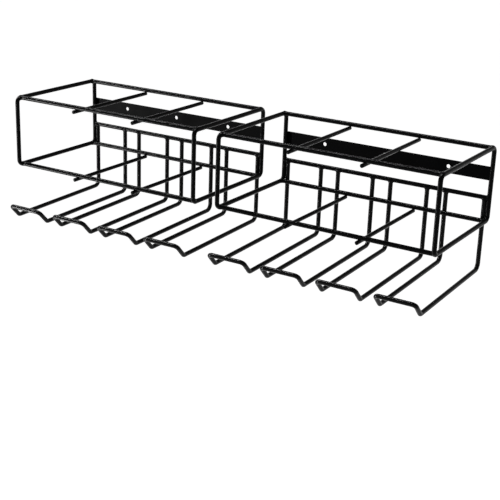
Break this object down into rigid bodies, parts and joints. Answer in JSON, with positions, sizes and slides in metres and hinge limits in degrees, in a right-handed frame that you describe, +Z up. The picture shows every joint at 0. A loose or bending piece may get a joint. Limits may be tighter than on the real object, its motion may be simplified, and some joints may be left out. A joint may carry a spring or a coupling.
{
  "type": "wall mounted power tool organizer",
  "caption": "Side-by-side wall racks of welded black wire with open shelves above long hooks that hold power tools by the foot.",
  "frame": {"origin": "on the wall plane, midway between the two racks and level with the screw holes of the mounting strips", "axes": "+X along the wall to the right as seen from the room, +Y into the wall, +Z up"},
  "size_m": [0.862, 0.2712, 0.2305],
  "materials": {
    "side_frame_coat": "satin black powder coat on bent steel wire",
    "rail_coat": "satin black powder coat on straight steel wire",
    "cross_wire_coat": "satin black powder coat on thin steel wire",
    "tool_hook_coat": "satin black powder coat on bent steel wire",
    "strip_coat": "satin black powder coat on flat steel strip"
  },
  "bodies": {
    "root": {"left_rack_side_frame_left": "side_frame_coat", "left_rack_side_frame_right": "side_frame_coat", "left_rack_top_front_rail": "rail_coat", "left_rack_top_back_rail": "rail_coat", "left_rack_lower_front_rail": "rail_coat", "left_rack_lower_back_rail": "rail_coat", "left_rack_hook_rail": "rail_coat", "left_rack_top_cross_wire_1": "cross_wire_coat", "left_rack_top_cross_wire_2": "cross_wire_coat", "left_rack_lower_cross_wire_1": "cross_wire_coat", "left_rack_lower_cross_wire_2": "cross_wire_coat", "left_rack_tool_hook_1": "tool_hook_coat", "left_rack_tool_hook_2": "tool_hook_coat", "left_rack_tool_hook_3": "tool_hook_coat", "left_rack_tool_hook_4": "tool_hook_coat", "left_rack_mounting_strip": "strip_coat", "right_rack_side_frame_left": "side_frame_coat", "right_rack_side_frame_right": "side_frame_coat", "right_rack_top_front_rail": "rail_coat", "right_rack_top_back_rail": "rail_coat", "right_rack_lower_front_rail": "rail_coat", "right_rack_lower_back_rail": "rail_coat", "right_rack_hook_rail": "rail_coat", "right_rack_top_cross_wire_1": "cross_wire_coat", "right_rack_top_cross_wire_2": "cross_wire_coat", "right_rack_lower_cross_wire_1": "cross_wire_coat", "right_rack_lower_cross_wire_2": "cross_wire_coat", "right_rack_tool_hook_1": "tool_hook_coat", "right_rack_tool_hook_2": "tool_hook_coat", "right_rack_tool_hook_3": "tool_hook_coat", "right_rack_tool_hook_4": "tool_hook_coat", "right_rack_mounting_strip": "strip_coat"}
  },
  "joints": []
}
